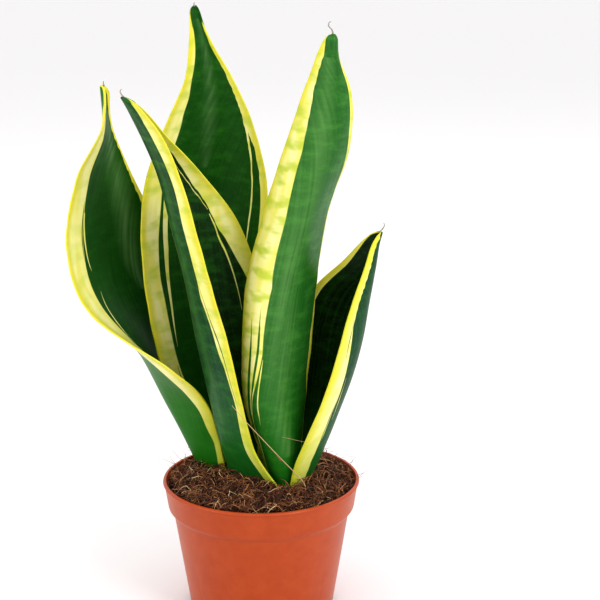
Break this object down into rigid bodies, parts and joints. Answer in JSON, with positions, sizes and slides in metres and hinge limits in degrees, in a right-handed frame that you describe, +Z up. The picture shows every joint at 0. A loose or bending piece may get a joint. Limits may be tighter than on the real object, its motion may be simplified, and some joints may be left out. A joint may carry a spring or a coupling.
{
  "type": "potted snake plant",
  "caption": "Snake plant with broad, pointed, yellow-edged green leaves rising from a fibre-topped mix in a round tapered nursery pot with a deep collar.",
  "frame": {"origin": "centre of the pot's flat underside, on the surface that the pot stands on", "axes": "+Z up through the pot's centre, -Y towards the side where the convex front leaf stands"},
  "size_m": [0.1837, 0.12, 0.3612],
  "materials": {
    "pot_plastic": "moulded, satin",
    "peat": "damp crumb",
    "coir": "loose fibre",
    "leaf": "waxy, satin, yellow margins"
  },
  "bodies": {
    "root": {"pot": "pot_plastic", "peat_mix": "peat", "coir_mat": "coir", "leaf_back": "leaf", "leaf_left": "leaf", "leaf_front_left": "leaf", "leaf_front": "leaf", "leaf_right": "leaf"}
  },
  "joints": []
}
